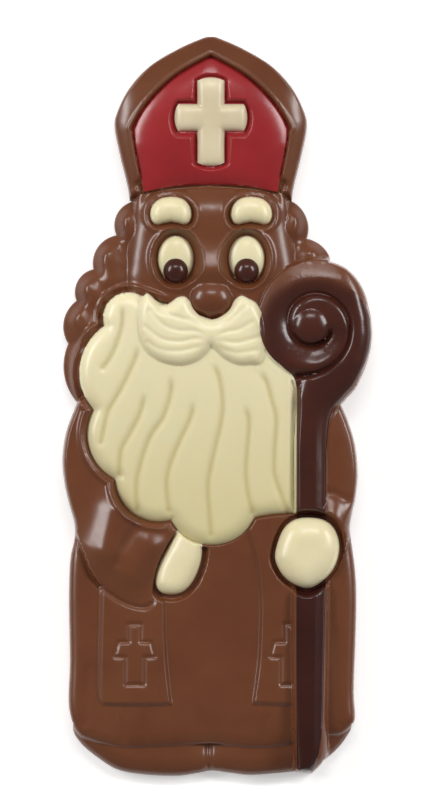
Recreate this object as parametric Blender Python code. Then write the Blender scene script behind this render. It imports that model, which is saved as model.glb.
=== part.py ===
"""A flat moulded chocolate figure of Saint Nicholas, lying on its back with the relief up.

The whole figure is one relief over a plan: X runs across it, Y from the feet to the tip of the mitre, and Z up
out of the flat back. The coloured chocolates are castings let into pockets of the milk chocolate body, side by
side on one level. Each outline is drawn in millimetres, and each form rises from its outline by its own rule.
"""

import bmesh
import bpy
import numpy as np
from mathutils.geometry import delaunay_2d_cdt

COLLECTION = "saint_nicholas_chocolate_figure"
MM = 0.001

# The moulding as a whole, in millimetres
GRID = 0.9
GAP = 0.3
INLAY_BED = 4.0
EDGE_LIP = 1.2
EDGE_STEEPNESS = 5.0
EDGE_SOFTNESS = 1.0
WALL_WIDTH = 1.3
SHOULDER = 0.5

# Heights above the flat back, in millimetres
FEET_TOP = 4.6
SHOE_TOP = 5.3
ROBE_TOP = 6.3
STOLE_TOP = 7.0
STOLE_CROSS_TOP = 7.6
ARM_TOP = 8.6
SLEEVE_TOP = 8.8
HAIR_TOP = 6.3
CURL_TOP = 7.2
FACE_TOP = 8.7
BROW_TOP = 9.3
EYE_TOP = 8.0
PUPIL_TOP = 9.3
NOSE_TOP = 11.0
BEARD_TOP = 9.1
MOUSTACHE_TOP = 10.9
MITRE_TOP = 8.9
PANEL_TOP = 8.2
MITRE_CROSS_TOP = 8.9
SHAFT_TOP = 10.0
RIGHT_HAND_TOP = 10.9
LEFT_HAND_TOP = 9.0

# Places that several forms share, in millimetres
MITRE_X = -1.45
MITRE_FOOT_Y = 46.5
FACE_X = -1.35
EYE_SPREAD = 8.15
EYE_Y = 33.6
BROW_SPREAD = 9.2
BROW_Y = 44.6
NOSE = (-1.3, 24.4)
CROOK = np.array([22.1, 18.2])

TRIANGLES = {
    "milk_chocolate_body": 6400,
    "mitre_panel": 500,
    "mitre_cross": 260,
    "brow": 160,
    "eye": 130,
    "pupil": 110,
    "beard": 2000,
    "hand_left": 220,
    "hand_right": 300,
    "crozier": 1100,
    "crozier_foot": 260,
}


def arc(a, b, bulge, steps):
    """Points from a up to b on an arc that stands bulge to the left of the way from a to b."""
    a, b = np.array(a, float), np.array(b, float)
    if bulge == 0:
        return a[None]
    chord = b - a
    length = np.hypot(*chord)
    radius = (length**2 / 4 + bulge**2) / (2 * bulge)
    centre = (a + b) / 2 + np.array([-chord[1], chord[0]]) / length * (bulge - radius)
    turn = -2 * np.arcsin(min(1, length / 2 / abs(radius))) * np.sign(bulge)
    if abs(bulge) > length / 2:
        turn = -2 * np.pi * np.sign(bulge) - turn
    start = np.arctan2(*(a - centre)[::-1])
    angles = start + turn * np.linspace(0, 1, steps, endpoint=False)
    return centre + abs(radius) * np.stack([np.cos(angles), np.sin(angles)], -1)


def lobes(corners, bulges, steps=9):
    """A closed outline of arcs and straight sides between corners."""
    ends = corners[1:] + corners[:1]
    return np.concatenate([arc(a, b, bulge, steps) for a, b, bulge in zip(corners, ends, bulges)])


def smooth_line(points, sharp=(), closed=True, steps=4):
    """A soft curve through the points, which stays cornered at the ones listed in sharp."""
    p = np.array(points, float)
    count = len(p)
    t = np.linspace(0, 1, steps, endpoint=False)[:, None]
    pieces = []
    for i in range(count if closed else count - 1):
        a, b = p[i], p[(i + 1) % count]
        before = p[i - 1] if closed or i else a
        after = p[(i + 2) % count] if closed or i + 2 < count else b
        leave = b - a if i in sharp else (b - before) / 2
        arrive = b - a if (i + 1) % count in sharp else (after - a) / 2
        pieces.append(
            (2 * t**3 - 3 * t**2 + 1) * a
            + (t**3 - 2 * t**2 + t) * leave
            + (3 * t**2 - 2 * t**3) * b
            + (t**3 - t**2) * arrive
        )
    if not closed:
        pieces.append(p[-1:])
    return np.concatenate(pieces)


def mirrored(half, x):
    """A half outline, drawn from top to foot on the right, with its mirror image on the left of x."""
    return np.concatenate([half, (half * (-1, 1) + (2 * x, 0))[-2:0:-1]])


def oval(x, y, across, along, steps):
    t = np.linspace(0, 2 * np.pi, steps, endpoint=False)
    return np.stack([x + across * np.cos(t), y + along * np.sin(t)], -1)


def bean(x, y, across, along, bend, steps=32):
    """A full oval bent down at its ends, as an eyebrow is."""
    t = np.linspace(0, 2 * np.pi, steps, endpoint=False)
    u = np.sign(np.cos(t)) * abs(np.cos(t)) ** 0.8
    v = np.sign(np.sin(t)) * abs(np.sin(t)) ** 0.85
    return np.stack([x + across * u, y + along * v - bend * (u * u - 0.4)], -1)


def barred_cross(x, y, half, reach, up, down, bulge):
    """A cross of two equal bars with rounded ends."""
    corners = [
        (x - half, y + up), (x + half, y + up), (x + half, y + half), (x + reach, y + half),
        (x + reach, y - half), (x + half, y - half), (x + half, y - down), (x - half, y - down),
        (x - half, y - half), (x - reach, y - half), (x - reach, y + half), (x - half, y + half),
    ]
    return lobes(corners, [bulge, 0, 0] * 4, 7)


def flared_cross(x):
    """The raised cross on an end of the stole, its arms wider towards their ends, right half first."""
    half = [(0, -50.0), (1.2, -50.0), (1.0, -54.2), (4.0, -54.2), (4.6, -58.6), (1.1, -58.2), (1.9, -64.3), (0, -64.3)]
    return mirrored(np.array(half) + (x, 0), x)


def around_crook(turns, radii, steps=56):
    """The crook's outer edge, from radii at named turns about the middle of its spiral, in degrees."""
    turn = np.linspace(-58, 284, steps)
    radius = np.interp(turn, turns, radii)
    return CROOK + np.stack([radius * np.cos(np.radians(turn)), radius * np.sin(np.radians(turn))], -1)


# Outlines of the forms, in millimetres from the middle of the figure
MITRE = mirrored(smooth_line([
    (-1.45, 85.0), (6.0, 82.1), (12.6, 78.1), (17.3, 73.0), (20.1, 67.5), (20.7, 63.8),
    (19.4, 57.1), (17.4, 48.4), (17.0, 40.0),
], closed=False), MITRE_X)
PANEL = mirrored(smooth_line([
    (-1.45, 80.1), (5.4, 76.4), (10.2, 72.5), (14.1, 68.0), (16.4, 63.9), (16.4, 62.4),
    (15.4, 56.4), (13.9, 49.0), (8.6, 50.0), (3.8, 50.5), (-1.45, 50.65),
], sharp=(7,), closed=False), MITRE_X)
MITRE_CROSS = barred_cross(-1.4, 66.0, 3.1, 7.5, 8.4, 10.3, 0.85)
HAIR_LEFT = lobes([
    (-1.6, 56), (-19.7, 46.8), (-23.2, 39.1), (-28.5, 31.3), (-32.4, 24.0), (-34.3, 14.1),
    (-32.2, 0.5), (-15, -15), (-1.6, -15),
], [0, -1.9, -2.0, -1.9, -2.0, -2.0, 0, 0, 0])
HAIR_RIGHT = lobes([
    (-1.6, 56), (-1.6, 0), (26, 17), (26, 34.0), (20.7, 38.3), (17.3, 46.9),
], [0, 0, 0, -0.9, -1.7, 0])
FACE = smooth_line([
    (-15.8, 49.5), (-18.2, 46.3), (-19.8, 39.9), (-20.8, 32.9), (-21.0, 27.6), (-17.7, 17.3),
    (-1.2, 15), (14.5, 17.3), (19.1, 24.2), (18.2, 32.9), (17.1, 39.2), (15.5, 46.3), (13.0, 49.5), (-1.4, 50.6),
])
BROWS = [bean(FACE_X + side * BROW_SPREAD, BROW_Y, 4.85, 2.5, 1.7) for side in (-1, 1)]
EYES = [oval(FACE_X + side * EYE_SPREAD, EYE_Y, 4.15, 5.3, 30) for side in (-1, 1)]
PUPILS = [oval(FACE_X + side * EYE_SPREAD, EYE_Y - 2.8, 2.85, 2.85, 24) for side in (-1, 1)]
BEARD = lobes([
    (-17.8, 25.3), (-25.9, 18.2), (-28.4, -1.1), (-23.5, -17.0), (-10.6, -26.5), (8.6, -25.9),
    (18.2, -24.9), (18.3, 9.0), (12.0, 16.0), (9.5, 24.0), (-1.2, 19.6),
], [-3.6, -4.4, -3.6, -3.9, -6.0, 0.3, 0, 0, 0, 0, 0], 12)
MOUSTACHE = smooth_line([
    (-16.0, 26.7), (-17.4, 24.9), (-18.1, 20.8), (-17.8, 16.7), (-16.5, 13.0), (-13.9, 10.5),
    (-10.8, 9.3), (-7.7, 9.1), (-4.6, 10.1), (-2.5, 12.0), (-1.4, 13.4), (-0.1, 12.4),
    (1.8, 10.7), (4.6, 9.3), (7.3, 9.2), (10.4, 10.1), (11.3, 17.3), (9.4, 22.8),
    (7.1, 24.5), (5.5, 25.1), (4.1, 24.1), (2.9, 21.9), (0.9, 20.3), (-1.4, 19.5),
    (-3.8, 20.4), (-5.4, 22.0), (-6.3, 23.9), (-7.5, 24.9), (-9.1, 24.7), (-10.6, 23.6),
    (-11.9, 22.8), (-13.5, 23.1), (-14.7, 24.7),
], sharp=(0, 10, 15), steps=3)
ROBE = smooth_line([
    (-32.3, 0.5), (-34.7, -6), (-35.6, -12.2), (-35.2, -17.7), (-34.1, -22.7), (-32.9, -27.0),
    (-32.8, -30.6), (-33.8, -35.7), (-34.1, -44.9), (-33.9, -58.8), (-34.1, -69.4), (-32.2, -75.2),
    (-28.8, -77.2), (-22.5, -78.9), (-16.7, -78.9), (-9.4, -78.6), (-1.6, -78.0), (3.2, -78.6),
    (10.0, -79.1), (17.3, -78.2), (24.6, -76.4), (28.4, -75.7), (31.0, -73.6), (31.8, -71.7),
    (31.5, -65.7), (31.9, -54.1), (32.1, -44.9), (31.8, -38.0), (30.9, -31.1), (30.6, -27.9),
    (31.1, -24.9), (32.0, -20.7), (32.4, -15), (31.7, -8.8), (30.1, -3.5), (28.6, 0.0),
    (27, 10), (20, 22), (0, 30), (-15, 22), (-27, 6),
], sharp=(0, 35), steps=3)
FEET = smooth_line([
    (-31.0, -66), (-33.2, -73.6), (-31.6, -77.6), (-27.6, -81.1), (-22.8, -84.0), (-16.6, -85.1),
    (-9.4, -85.4), (-4.6, -84.8), (-1.2, -84.2), (2.8, -84.7), (7.6, -85.2), (13.8, -84.8),
    (18.2, -84.4), (21.2, -84.7), (23.3, -82.9), (27.2, -79.7), (30.0, -76.2), (31.0, -73), (29.0, -66),
], sharp=(0, 13, 18), steps=3)
SLEEVE_LEFT = smooth_line([
    (-32.3, 0.5), (-34.7, -6), (-35.6, -12.2), (-35.2, -17.7), (-34.1, -22.7), (-32.7, -27.4),
    (-30.8, -32.9), (-28.1, -39.5), (-23.7, -43.4), (-20.2, -45.3), (-16.8, -46.0), (-15.1, -45.2),
    (-14.7, -43.0), (-14.2, -39.5), (-13.0, -35.7), (-11.2, -31.8), (-9.2, -28.9), (-4, -20), (-20, 4),
], sharp=(0, 11, 16))
ARM_RIGHT = smooth_line([
    (28.6, 0), (30.1, -3.5), (31.7, -8.8), (32.4, -15), (32.0, -20.7), (31.1, -24.9), (30.6, -27.9),
    (28.6, -35.3), (25.0, -40.6), (20, -40.6), (20, -2),
], sharp=(0, 8, 9, 10))
HAND_RIGHT = smooth_line([
    (21.3, -25.8), (17.9, -26.3), (15.3, -28.4), (13.7, -32.3), (13.4, -35.7), (15.2, -39.2), (18.0, -41.3),
    (21.2, -42.1), (24.7, -40.0), (27.0, -37.1), (28.1, -32.7), (27.2, -28.7), (24.9, -26.5),
], steps=3)
HAND_LEFT = smooth_line([
    (-8.9, -29.9), (-7.3, -31.2), (-5.5, -31.9), (-3.7, -32.3), (-3.4, -34.8), (-4.3, -38.2), (-6.1, -41.3),
    (-8.2, -43.0), (-10.5, -43.5), (-12.6, -43.3), (-13.8, -42.6), (-13.7, -39.9), (-12.8, -36.9), (-11.0, -33.3),
], sharp=(0, 3), steps=3)
STOLE_LEFT = smooth_line([
    (-26.4, -40), (-26.6, -50), (-26.8, -58), (-26.8, -66.5), (-25.9, -68.7), (-18, -68.8),
    (-10.6, -68.7), (-10.9, -66.5), (-11.8, -57.3), (-12.1, -46.6), (-12, -40),
], sharp=(0, 4, 6, 10))
STOLE_RIGHT = smooth_line([
    (3.0, -28), (6.4, -32.3), (8.3, -35.3), (9.3, -40.1), (10.0, -47.3), (9.8, -57.3),
    (9.1, -63.6), (8.4, -68.5), (13, -68.7), (19, -68.7), (19, -28),
], sharp=(0, 7, 9, 10))
STOLE_CROSSES = [flared_cross(-18.9), flared_cross(16.9)]

# The crook: a tube wound from the top of the shaft into a ball, its edges given by turn and radius
CREASE_TURNS = [-75, -56, -36, 0, 45, 85, 145, 180, 225, 258, 300, 335, 365, 405, 495, 600, 645]
CREASE_RADII = [12.2, 10.7, 9.7, 8.2, 7.4, 7.05, 6.45, 5.9, 4.85, 3.85, 3.5, 3.25, 3.6, 4.1, 4.3, 4.2, 3.7]
EDGE_TURNS = [-75, -55, -42, -28, 0, 20, 41, 60, 90, 120, 145, 180, 210, 235, 260, 285]
EDGE_RADII = [20.5, 18.2, 17.0, 15.4, 13.5, 13.55, 14.6, 15.4, 15.3, 14.3, 13.5, 12.6, 12.3, 11.6, 11.2, 10.9]
DARK_RADII = [19.0, 16.9, 15.7, 14.2, 12.7, 12.7, 12.1, 11.7, 11.1, 11.3, 12.0, 12.3, 12.1, 11.5, 11.1, 10.9]
CROOK_RIM = around_crook(EDGE_TURNS, EDGE_RADII)
CROOK_DARK = around_crook(EDGE_TURNS, DARK_RADII)
SHAFT = smooth_line([
    (17.6, 4.8), (20.5, 8.0), (24.0, 8.6), (29.5, 5.6), (32.6, 3.4), (28.6, 0.0), (26.6, -1.8),
    (26.1, -8), (26.1, -15), (26.0, -26.5), (25.8, -42.6), (25.6, -56.5), (25.4, -72), (25.2, -80.4),
    (22.3, -84.4), (21.2, -84.7), (18.0, -84.5), (16.9, -63), (16.9, -42.6), (17.6, -26.5), (17.6, -10),
], sharp=(0, 4, 14, 16), steps=3)
SHAFT_DARK = smooth_line([
    (18.4, 4.8), (20.5, 8.0), (24.0, 8.6), (29.5, 5.6), (31.4, 3.2), (28.6, 1.0), (26.3, -1.8),
    (25.3, -8), (25.0, -15), (25.0, -26.5), (24.9, -34),
    (18.4, -34), (18.4, -26.5), (18.4, -10),
], sharp=(0, 4, 10, 11), steps=3)
FOOT_DARK = smooth_line([
    (24.9, -37), (24.9, -42.6), (24.6, -56.5), (24.2, -72), (23.6, -78.5), (22.3, -83.4),
    (21.2, -84.0), (18.4, -83.7), (18.2, -63), (18.2, -42.6), (18.2, -37),
], sharp=(0, 6, 7, 10), steps=3)

# Hair curls as rounded ridges, from the rim inward: x and y of both ends, and the radius
CURLS = [
    (-22.2, 43.0, -20.2, 40.5, 3.0), (-26.0, 36.0, -22.5, 32.0, 3.6), (-30.2, 28.5, -26.0, 26.0, 3.6),
    (-32.2, 20.0, -28.0, 22.0, 3.9), (-32.8, 9.5, -30.0, 14.0, 3.9),
    (19.8, 43.2, 18.2, 40.0, 2.8), (23.4, 37.0, 20.0, 33.5, 3.2),
]
# Long waves of the beard, each the line of a groove
WAVES = [
    [(-18.5, 14.1), (-18.8, 10.7), (-21.8, 4.1), (-23.8, 0.7), (-25.3, -2.3), (-26.6, -8.5)],
    [(-16.5, 3.2), (-17.6, -1.8), (-20.0, -6.6), (-22.0, -10.5), (-22.5, -15.8)],
    [(-10.8, 7.1), (-10.6, 3.0), (-12.3, -2.7), (-15.7, -8.1), (-18.4, -17.3), (-18.4, -24.0)],
    [(-5.5, 1.2), (-6.0, -2.7), (-8.4, -8.1), (-10.6, -13.4), (-11.6, -18.2), (-11.1, -24.0)],
    [(-1.2, 10.0), (0.3, 6.7), (1.2, 1.8), (1.0, -3.7), (-1.4, -14.3), (-2.1, -19.7), (-1.4, -29.5)],
    [(6.1, 0.2), (7.3, -3.7), (6.9, -11.0), (6.6, -15.8), (7.1, -20.7), (8.1, -24.5)],
    [(9.4, 8.1), (11.3, 5.3), (12.5, 1.2), (13.6, -3.7), (13.2, -11.0), (13.4, -16.8), (16.3, -24.4)],
]
WAVE_DEPTH = 0.45
WAVE_WIDTH = 0.55


def distance(points, line, closed=True, reach=8.0):
    """How far points lie inside a closed outline (outside is negative), or from an open line."""
    result = np.full(len(points), -reach if closed else reach)
    near = np.flatnonzero(((points > line.min(0) - reach) & (points < line.max(0) + reach)).all(1))
    a = line if closed else line[:-1]
    b = np.roll(line, -1, 0) if closed else line[1:]
    side = b - a
    for part in np.array_split(near, max(1, len(near) * len(a) // 2000000)):
        q = points[part][:, None]
        along = np.clip(((q - a) * side).sum(2) / (side**2).sum(1), 0, 1)
        gap = ((q - a - along[..., None] * side) ** 2).sum(2).min(1) ** 0.5
        if closed:
            crosses = (a[:, 1] > q[..., 1]) != (b[:, 1] > q[..., 1])
            slope = side[:, 0] / np.where(side[:, 1] == 0, 1, side[:, 1])
            left_of = q[..., 0] < a[:, 0] + (q[..., 1] - a[:, 1]) * slope
            gap = np.where((crosses & left_of).sum(1) % 2 == 1, gap, -gap)
        result[part] = gap
    return result


def ease(t):
    t = np.clip(t, 0, 1)
    return t * t * (3 - 2 * t)


def merge(a, b, soft):
    """The higher of two heights, with a fillet where they meet."""
    near = np.clip(soft - abs(a - b), 0, None) / soft
    return np.maximum(a, b) + near * near * soft / 4


def cut(a, b, soft):
    """The lower of two heights, with a rounded edge where they meet."""
    return -merge(-a, -b, soft)


def swell(inside, edge, top, shoulder, steepness):
    """A form's height: a round shoulder from its edge to its top, and a steep fall outside the outline."""
    t = np.clip(inside / shoulder, 0, 1)
    return edge + (top - edge) * np.sqrt(1 - (1 - t) ** 2) + np.minimum(inside, 0) * steepness


def feet(x, y, inside):
    """Toes of two shoes side by side under the hem."""
    height = swell(inside["feet"], 2.6, FEET_TOP, 4.0, 3)
    for middle, half in ((-12.6, 10.2), (9.6, 10.6)):
        across = 1 - np.clip(abs((x - middle) / half), 0, 1) ** 3
        shoe = 3.6 + (SHOE_TOP - 3.6) * across * np.sqrt(np.clip((y + 85.2) / 6.5, 0, 1))
        height = merge(height, np.where(abs(x - middle) < half, shoe, 0), 0.5)
    return height


def robe(height, inside):
    """The robe's front with the two ends of the stole and a flared cross on each."""
    height = merge(height, swell(inside["robe"], 4.0, ROBE_TOP, 3.2, 3), 0.35)
    for side in ("left", "right"):
        height = merge(height, swell(inside["stole_" + side], 6.0, STOLE_TOP, 0.6, 4), 0.3)
        height = merge(height, swell(inside["stole_cross_" + side], 6.8, STOLE_CROSS_TOP, 0.45, 4), 0.2)
    height = merge(height, swell(inside["arm_right"], 5.0, ARM_TOP, 3.5, 3), 0.6)
    return merge(height, swell(inside["sleeve_left"], 5.2, SLEEVE_TOP, 4.2, 3), 0.6)


def hair(points, height, inside):
    for side in ("left", "right"):
        height = merge(height, swell(inside["hair_" + side], 3.8, HAIR_TOP, 3.0, 3), 0.5)
    for *ends, radius in CURLS:
        a, b = np.array(ends).reshape(2, 2)
        along = np.clip(((points - a) * (b - a)).sum(1) / ((b - a) ** 2).sum(), 0, 1)
        far = np.hypot(*(points - a - along[:, None] * (b - a)).T)
        ridge = 4.6 + (CURL_TOP - 4.6) * np.sqrt(np.clip(1 - (far / radius) ** 2, 0, 1))
        height = merge(height, np.where(far < radius, ridge, 0), 0.7)
    return height


def face(x, y, height, inside):
    """A broad doll's face: brows and eyes in rimmed sockets, and a ball of a nose."""
    height = merge(height, swell(inside["face"], 6.2, FACE_TOP, 4.5, 3), 0.3)
    for side in ("left", "right"):
        brow, eye, pupil = (inside[name + side] for name in ("brow_", "eye_", "pupil_"))
        height = merge(height, swell(brow + 1.5, 7.6, 9.0, 1.2, 2), 0.8)
        height = cut(height, 7.7 - np.minimum(brow, 0) * 4, 0.3)
        height = np.where(brow > -1, np.maximum(height, swell(brow, 7.4, BROW_TOP, 2.6, 5)), height)
        height = merge(height, swell(eye + 1.9, 7.4, 8.9, 1.4, 1.5), 0.8)
        height = cut(height, 7.2 + np.maximum(-eye, 0) * 1.5, 0.5)
        height = np.where(eye > -0.6, np.maximum(height, swell(eye, 6.9, EYE_TOP, 3.2, 4)), height)
        height = np.where(pupil > -0.4, np.maximum(height, swell(pupil, 7.5, PUPIL_TOP, 2.6, 5)), height)
    off = np.sqrt(((x - NOSE[0]) / 4.7) ** 2 + ((y - NOSE[1]) / 3.8) ** 2)
    nose = 7.6 + (NOSE_TOP - 7.6) * np.sqrt(np.clip(1 - off * off, 0, 1))
    return merge(height, np.where(off < 1, nose, 0), 0.4)


def beard(points, height, inside):
    """The beard with its long waves, and the moustache on it."""
    height = merge(height, swell(inside["beard"] + 1.0, 5.6, BEARD_TOP, 3.6, 5), 0.3)
    for wave in WAVES:
        off = distance(points, smooth_line(wave, closed=False), False, 3.0)
        groove = WAVE_DEPTH * np.exp(-((off / WAVE_WIDTH) ** 2))
        height = np.where(inside["beard"] > 0, height - groove, height)
    return merge(height, swell(inside["moustache"] + 0.3, 8.2, MOUSTACHE_TOP, 3.0, 5), 0.3)


def mitre(y, height, inside):
    """A round border round a sunk red panel, with a cross in a recess of the panel."""
    border = swell(inside["mitre"], 4.0, MITRE_TOP, 2.8, 8) - 0.5 * ease((inside["panel"] + 2.6) / 2.0)
    panel = swell(inside["panel"], 7.3, PANEL_TOP, 2.3, 8)
    cross = inside["mitre_cross"]
    panel = cut(panel, 7.1 + np.maximum(-cross - 0.3, 0) * 1.2, 0.3)
    panel = np.where(cross > -0.5, np.maximum(panel, swell(cross, 7.3, MITRE_CROSS_TOP, 2.6, 6)), panel)
    form = np.where(inside["panel"] > 0, panel, border)
    brow_line = (inside["face"] > 0) & (inside["panel"] < 0) & (y < 51)
    here = (inside["mitre"] > 0) & ~brow_line & (y > MITRE_FOOT_Y)
    return np.where(here, np.maximum(height, form), height)


def crook(points):
    """The crook's round tube, worked out from the crease between its turns, and the ball that ends it."""
    from_middle = points - CROOK
    radius = np.hypot(*from_middle.T)
    turn = np.degrees(np.arctan2(from_middle[:, 1], from_middle[:, 0]))
    turn = np.where(turn < -75, turn + 360, turn)
    edge = np.interp(turn, EDGE_TURNS, EDGE_RADII)
    outer_crease = np.interp(turn, CREASE_TURNS, CREASE_RADII)
    inner_crease = np.interp(turn + 360, CREASE_TURNS, CREASE_RADII)

    def tube(low, high, floor, rise):
        across = np.clip((radius - low) / (high - low) * 2 - 1, -1, 1)
        return floor + np.minimum(rise, 0.45 * (high - low)) * np.sqrt(1 - across**2)

    flank = np.clip((radius - outer_crease) / (edge - outer_crease) * 2 - 1, 0, 1) ** 2 * 2.5
    outer_turn = tube(outer_crease, edge, 8.6, 2.6) - flank
    inner_turn = tube(inner_crease, outer_crease, 8.8, 2.2)
    ball = 8.9 + 2.6 * np.sqrt(np.clip(1 - (radius / inner_crease) ** 2, 0, 1))
    height = np.where(radius > outer_crease, outer_turn, np.where(radius > inner_crease, inner_turn, ball))
    return height + np.minimum(edge - radius, 0) * 4


def hands(x, height, inside):
    """A round fist over the shaft, and a palm that lies in a trench below the left cuff."""
    left, right = inside["hand_left"], inside["hand_right"]
    trench = np.where(x > -14.5, 6.0 + np.maximum(-left - 0.9, 0) * 2.5, 20)
    height = np.where(inside["sleeve_left"] > 0, height, cut(height, trench, 0.4))
    height = np.where(left > -0.3, np.maximum(height, swell(left, 6.4, LEFT_HAND_TOP, 3.2, 5)), height)
    height = cut(height, 6.6 + np.maximum(-right - 0.7, 0) * 3.0, 0.4)
    return np.where(right > -0.3, np.maximum(height, swell(right, 7.4, RIGHT_HAND_TOP, 4.6, 6)), height)


FORMS = {
    "feet": FEET, "robe": ROBE, "sleeve_left": SLEEVE_LEFT, "arm_right": ARM_RIGHT,
    "stole_left": STOLE_LEFT, "stole_right": STOLE_RIGHT,
    "stole_cross_left": STOLE_CROSSES[0], "stole_cross_right": STOLE_CROSSES[1],
    "hair_left": HAIR_LEFT, "hair_right": HAIR_RIGHT, "face": FACE,
    "brow_left": BROWS[0], "brow_right": BROWS[1], "eye_left": EYES[0], "eye_right": EYES[1],
    "pupil_left": PUPILS[0], "pupil_right": PUPILS[1], "beard": BEARD, "moustache": MOUSTACHE,
    "mitre": MITRE, "panel": PANEL, "mitre_cross": MITRE_CROSS,
    "shaft": SHAFT, "crook": CROOK_RIM, "hand_left": HAND_LEFT, "hand_right": HAND_RIGHT,
}
WITHIN_ROBE = ("sleeve_left", "arm_right")
RIM_FORMS = ("feet", "robe", "sleeve_left", "arm_right", "hair_left", "hair_right", "face", "beard", "shaft", "crook")


def relief(points):
    """Height of the figure's front over points of the plan, in millimetres."""
    x, y = points.T
    inside = {name: distance(points, line) for name, line in FORMS.items()}
    height = feet(x, y, inside)
    height = robe(height, inside)
    height = hair(points, height, inside)
    height = face(x, y, height, inside)
    height = beard(points, height, inside)
    height = mitre(y, height, inside)
    height = merge(height, swell(inside["shaft"], 6.0, SHAFT_TOP, 4.2, 4), 0.3)
    height = np.where(inside["crook"] > -1, merge(height, crook(points), 0.25), height)
    height = hands(x, height, inside)
    mitre_rim = np.where(y > MITRE_FOOT_Y, inside["mitre"], -8)
    rim = np.max([mitre_rim] + [inside[name] for name in RIM_FORMS], 0)
    return cut(height, EDGE_LIP + rim * EDGE_STEEPNESS, EDGE_SOFTNESS)


# Which outlines each inlaid chocolate fills, the topmost first
INLAYS = {
    "mitre_cross": [MITRE_CROSS],
    "mitre_panel": [PANEL],
    "brow_left": [BROWS[0]],
    "brow_right": [BROWS[1]],
    "pupil_left": [PUPILS[0]],
    "pupil_right": [PUPILS[1]],
    "eye_left": [EYES[0]],
    "eye_right": [EYES[1]],
    "hand_right": [HAND_RIGHT],
    "hand_left": [HAND_LEFT],
    "crozier": [CROOK_DARK, SHAFT_DARK],
    "crozier_foot": [FOOT_DARK],
    "beard": [BEARD, MOUSTACHE],
}
MITRE_ABOVE = np.array([p for p in MITRE if p[1] > MITRE_FOOT_Y])


def anticlockwise(line):
    area = (line[:, 0] * np.roll(line[:, 1], -1) - line[:, 1] * np.roll(line[:, 0], -1)).sum()
    return line if area > 0 else line[::-1]


def grown(line, by):
    """An anticlockwise outline moved outwards by a small distance."""
    along = np.roll(line, -1, 0) - np.roll(line, 1, 0)
    return line + np.stack([along[:, 1], -along[:, 0]], -1) / np.hypot(*along.T)[:, None] * by


def plan():
    """The figure's plan as triangles, with the piece that each belongs to, and gap or body for the rest."""
    names, lines = [], []
    for name, outlines in INLAYS.items():
        for line in outlines:
            names += [name, "gap"]
            lines += [anticlockwise(line), grown(anticlockwise(line), GAP)]
    for line in [FORMS[name] for name in RIM_FORMS if name not in WITHIN_ROBE] + [MITRE_ABOVE]:
        names += ["body", "inner"]
        lines += [anticlockwise(line), grown(anticlockwise(line), -WALL_WIDTH)]
    for name in FORMS:
        if name.startswith("stole"):
            names += ["inner", "inner"]
            lines += [anticlockwise(FORMS[name]), grown(anticlockwise(FORMS[name]), -SHOULDER)]
    low, high = np.concatenate(lines).min(0), np.concatenate(lines).max(0)
    rows = np.arange(low[1], high[1], GRID * 3**0.5 / 2)
    grid = np.array([
        (x + GRID / 2 * (i % 2), y) for i, y in enumerate(rows) for x in np.arange(low[0], high[0], GRID)
    ])
    clear = np.min([abs(distance(grid, line, reach=2.0)) for line in lines], 0) > GRID * 0.45
    verts = np.concatenate(lines + [grid[clear]])
    starts = np.cumsum([0] + [len(line) for line in lines])
    faces = [list(range(starts[i], starts[i + 1])) for i in range(len(lines))]
    flat, _, triangles, _, _, owners = delaunay_2d_cdt([tuple(v) for v in verts], [], faces, 0, 1e-3, True)
    order = list(INLAYS)
    kept, piece = [], []
    for triangle, owner in zip(triangles, owners):
        found = {names[i] for i in owner} - {"inner"}
        if not found:
            continue
        held = [name for name in order if name in found]
        spoilt = False
        if held:
            first = order.index(held[0])
            spoilt = any(names[i] == "gap" and order.index(names[i - 1]) < first for i in owner)
        kept.append(triangle)
        piece.append("gap" if spoilt or (not held and "gap" in found) else held[0] if held else "body")
    return np.array([tuple(v) for v in flat]), np.array(kept), np.array(piece)


def closed_mesh(name, points, layers, base):
    """A closed mesh from flat triangles lifted to heights: layers is a list of (triangles, heights)."""
    levels = [*layers, (np.concatenate([layer[0] for layer in layers])[:, ::-1], np.full(len(points), base))]
    ground = len(layers)
    corners, index, faces, level_of = [], {}, [], {}

    def corner(vertex, level):
        if (vertex, level) not in index:
            index[vertex, level] = len(corners)
            corners.append((*points[vertex] * MM, levels[level][1][vertex] * MM))
        return index[vertex, level]

    for level, (triangles, _) in enumerate(levels):
        for triangle in triangles.tolist():
            faces.append([corner(vertex, level) for vertex in triangle])
            if level < ground:
                level_of.update({(a, b): level for a, b in zip(triangle, triangle[1:] + triangle[:1])})
    for (a, b), level in level_of.items():
        below = level_of.get((b, a), ground)
        if below > level:
            faces.append([corner(b, level), corner(a, level), corner(a, below), corner(b, below)])
    mesh = bpy.data.meshes.new(name)
    mesh.from_pydata(corners, [], faces)
    shape = bmesh.new()
    shape.from_mesh(mesh)
    bmesh.ops.triangulate(shape, faces=shape.faces)
    shape.to_mesh(mesh)
    shape.free()
    return mesh


def chocolate(name, colour, roughness):
    """A chocolate's material: its colour as red, green and blue, and how matt its surface is."""
    material = bpy.data.materials.new(name)
    material.use_nodes = True
    shader = material.node_tree.nodes["Principled BSDF"]
    shader.inputs["Base Color"].default_value = (*colour, 1)
    shader.inputs["Roughness"].default_value = roughness
    shader.inputs["Metallic"].default_value = 0
    return material


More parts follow.
